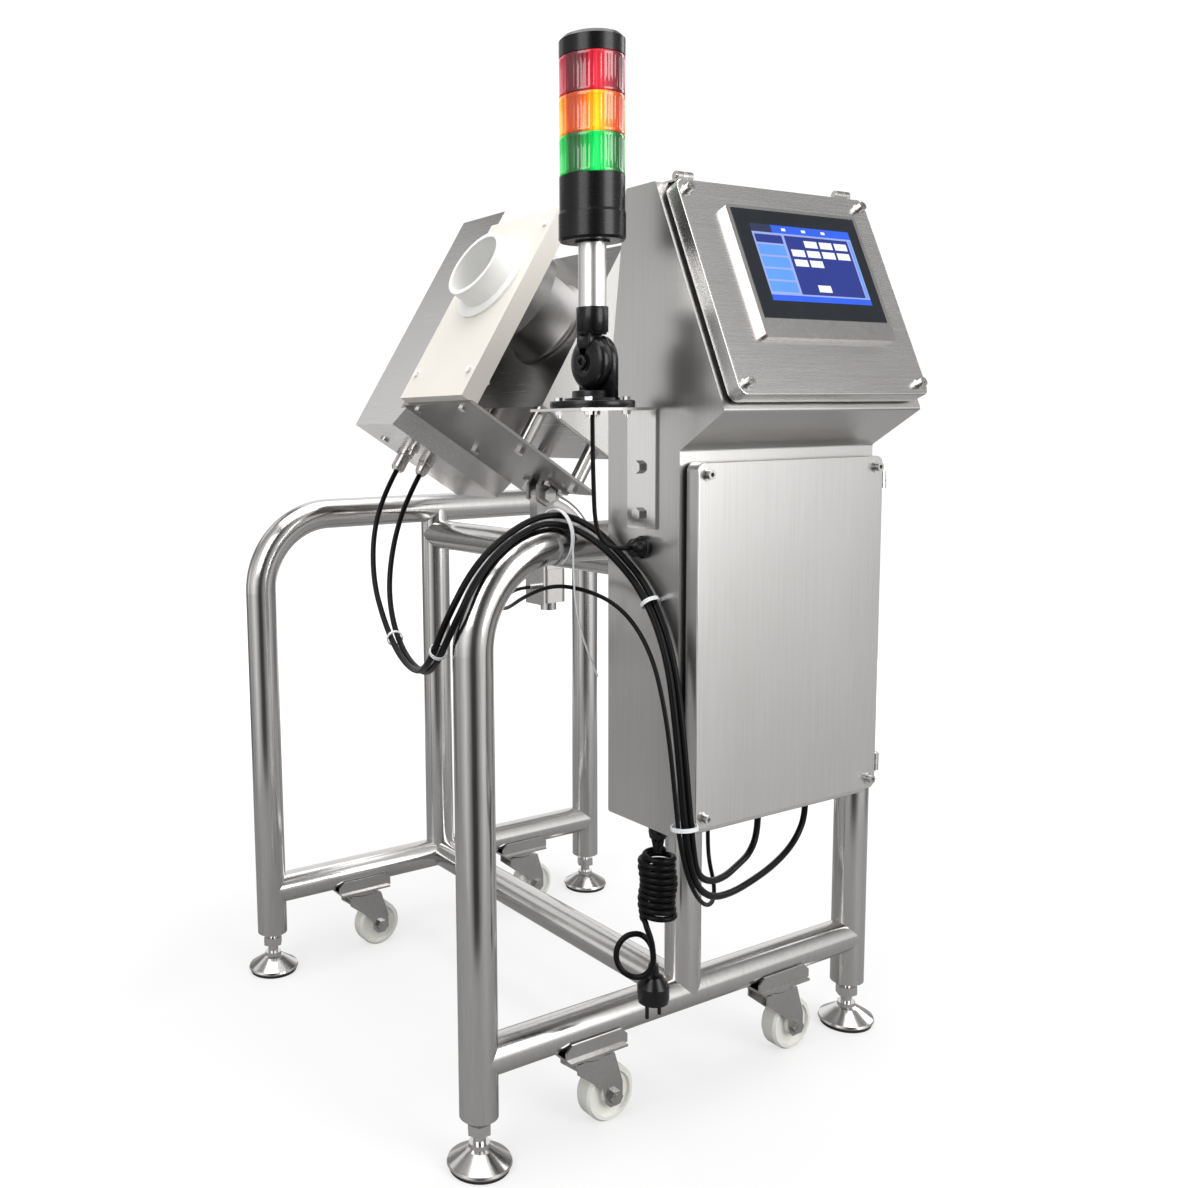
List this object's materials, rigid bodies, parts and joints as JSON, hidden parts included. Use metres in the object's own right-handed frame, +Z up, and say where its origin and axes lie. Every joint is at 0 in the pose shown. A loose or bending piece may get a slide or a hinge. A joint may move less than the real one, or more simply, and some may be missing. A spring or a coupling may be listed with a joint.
{
  "type": "free-fall metal detector",
  "caption": "Free-fall metal detector: tilted coil head with a product pipe on a castored tube stand, with a hinged control cabinet, operator panel and signal tower.",
  "frame": {"origin": "on the floor under the middle of the machine's bounding box", "axes": "+X to the right along the cabinet's front, +Y from the cabinet's door to the back, +Z up"},
  "size_m": [0.73, 0.9246, 1.2947],
  "materials": {
    "stainless_tube": "satin polished round tube",
    "stainless_sheet": "brushed sheet",
    "stainless_turned": "turned and polished",
    "bright_steel": "bright stainless fasteners and fittings",
    "zinc_plate": "zinc plated pressed sheet",
    "nickel_brass": "nickel plated",
    "black_plastic": "black moulded plastic",
    "black_rubber": "black cable jacket and seal",
    "white_plastic": "white nylon",
    "cream_plastic": "cream white machined plastic",
    "grey_plastic": "grey machined plastic",
    "nylon_wheel": "white nylon tread",
    "circuit_board": "green board with parts",
    "copper_wire": "varnished copper winding",
    "screen_glass": "dark touch screen",
    "aluminium_pole": "satin tube",
    "green_lens": "translucent green",
    "amber_lens": "translucent amber",
    "red_lens": "translucent red"
  },
  "bodies": {
    "stand": {"rear_u_frame": "stainless_tube", "front_u_frame": "stainless_tube", "lower_bars": "stainless_tube", "middle_frame": "stainless_tube", "castor_mounts": "zinc_plate", "cabinet_brackets": "stainless_sheet", "frame_bolts": "bright_steel", "cabinet_glands": "black_plastic", "mounting_plate": "zinc_plate", "cabinet_electronics": "circuit_board", "cabinet_shell": "stainless_sheet", "hinge_leaves": "bright_steel", "tower_foot": "black_plastic", "air_valve": "bright_steel", "head_cables": "black_rubber", "frame_cables": "black_rubber", "mains_lead": "black_rubber", "mains_hank": "black_rubber", "mains_plug": "black_plastic", "cable_ties": "white_plastic"},
    "foot_1": {"levelling_foot_1": "stainless_turned"},
    "foot_2": {"levelling_foot_2": "stainless_turned"},
    "foot_3": {"levelling_foot_3": "stainless_turned"},
    "foot_4": {"levelling_foot_4": "stainless_turned"},
    "fork_1": {"castor_fork_1": "zinc_plate"},
    "fork_2": {"castor_fork_2": "zinc_plate"},
    "fork_3": {"castor_fork_3": "zinc_plate"},
    "fork_4": {"castor_fork_4": "zinc_plate"},
    "wheel_1": {"castor_wheel_1": "nylon_wheel"},
    "wheel_2": {"castor_wheel_2": "nylon_wheel"},
    "wheel_3": {"castor_wheel_3": "nylon_wheel"},
    "wheel_4": {"castor_wheel_4": "nylon_wheel"},
    "cabinet_door_body": {"cabinet_door": "stainless_sheet", "cabinet_door_seal": "black_rubber", "cabinet_door_screws": "bright_steel"},
    "display_door_body": {"display_door": "stainless_sheet", "display_door_seal": "black_rubber", "display_door_screws": "bright_steel", "hmi_unit": "bright_steel", "hmi_glass": "screen_glass"},
    "tower_top": {"tower_arm": "black_plastic", "tower_pole": "aluminium_pole", "tower_base": "black_plastic", "green_lens": "green_lens", "amber_lens": "amber_lens", "red_lens": "red_lens", "lamp_cores": "white_plastic", "tower_cap": "black_plastic"},
    "head": {"head_standoffs": "bright_steel", "coil_case": "stainless_sheet", "coil_windings": "copper_wire", "aperture_pipe": "white_plastic", "inlet_plate": "cream_plastic", "backing_plate": "grey_plastic", "support_plate": "stainless_sheet", "electronics_box": "stainless_sheet", "electronics_cover": "stainless_sheet", "electronics_board": "circuit_board", "head_connectors": "nickel_brass", "head_bolts": "bright_steel"}
  },
  "joints": [
    {"name": "foot_1_screw", "type": "slide", "parent": "stand", "child": "foot_1", "axis": [0, 0, -1], "range_m": [-0.006, 0.025]},
    {"name": "foot_2_screw", "type": "slide", "parent": "stand", "child": "foot_2", "axis": [0, 0, -1], "range_m": [-0.006, 0.025]},
    {"name": "foot_3_screw", "type": "slide", "parent": "stand", "child": "foot_3", "axis": [0, 0, -1], "range_m": [-0.006, 0.025]},
    {"name": "foot_4_screw", "type": "slide", "parent": "stand", "child": "foot_4", "axis": [0, 0, -1], "range_m": [-0.006, 0.025]},
    {"name": "castor_1_swivel", "type": "hinge", "parent": "stand", "child": "fork_1", "pos_m": [-0.165, -0.2075, 0.096], "axis": [0, 0, 1], "continuous": true},
    {"name": "castor_1_roll", "type": "hinge", "parent": "fork_1", "child": "wheel_1", "pos_m": [-0.132, -0.2075, 0.0375], "axis": [0, 1, 0], "continuous": true},
    {"name": "castor_2_swivel", "type": "hinge", "parent": "stand", "child": "fork_2", "pos_m": [0.165, -0.2075, 0.096], "axis": [0, 0, 1], "continuous": true},
    {"name": "castor_2_roll", "type": "hinge", "parent": "fork_2", "child": "wheel_2", "pos_m": [0.198, -0.2075, 0.0375], "axis": [0, 1, 0], "continuous": true},
    {"name": "castor_3_swivel", "type": "hinge", "parent": "stand", "child": "fork_3", "pos_m": [-0.165, 0.4225, 0.096], "axis": [0, 0, 1], "continuous": true},
    {"name": "castor_3_roll", "type": "hinge", "parent": "fork_3", "child": "wheel_3", "pos_m": [-0.132, 0.4225, 0.0375], "axis": [0, 1, 0], "continuous": true},
    {"name": "castor_4_swivel", "type": "hinge", "parent": "stand", "child": "fork_4", "pos_m": [0.165, 0.4225, 0.096], "axis": [0, 0, 1], "continuous": true},
    {"name": "castor_4_roll", "type": "hinge", "parent": "fork_4", "child": "wheel_4", "pos_m": [0.198, 0.4225, 0.0375], "axis": [0, 1, 0], "continuous": true},
    {"name": "cabinet_door_hinge", "type": "hinge", "parent": "stand", "child": "cabinet_door_body", "pos_m": [0.15, -0.3865, 0.645], "axis": [0, 0, 1], "range_deg": [0, 110]},
    {"name": "display_door_hinge", "type": "hinge", "parent": "stand", "child": "display_door_body", "pos_m": [-0.008, -0.34306, 1.15715], "axis": [-1, 0, 0], "range_deg": [0, 95]},
    {"name": "tower_fold", "type": "hinge", "parent": "stand", "child": "tower_top", "pos_m": [-0.235, -0.3145, 0.958], "axis": [1, 0, 0], "range_deg": [0, 90]},
    {"name": "head_tilt", "type": "hinge", "parent": "stand", "child": "head", "pos_m": [0, 0.1075, 0.787], "axis": [0, 1, 0], "range_deg": [-10, 10], "deforming": ["head_cables"]}
  ]
}
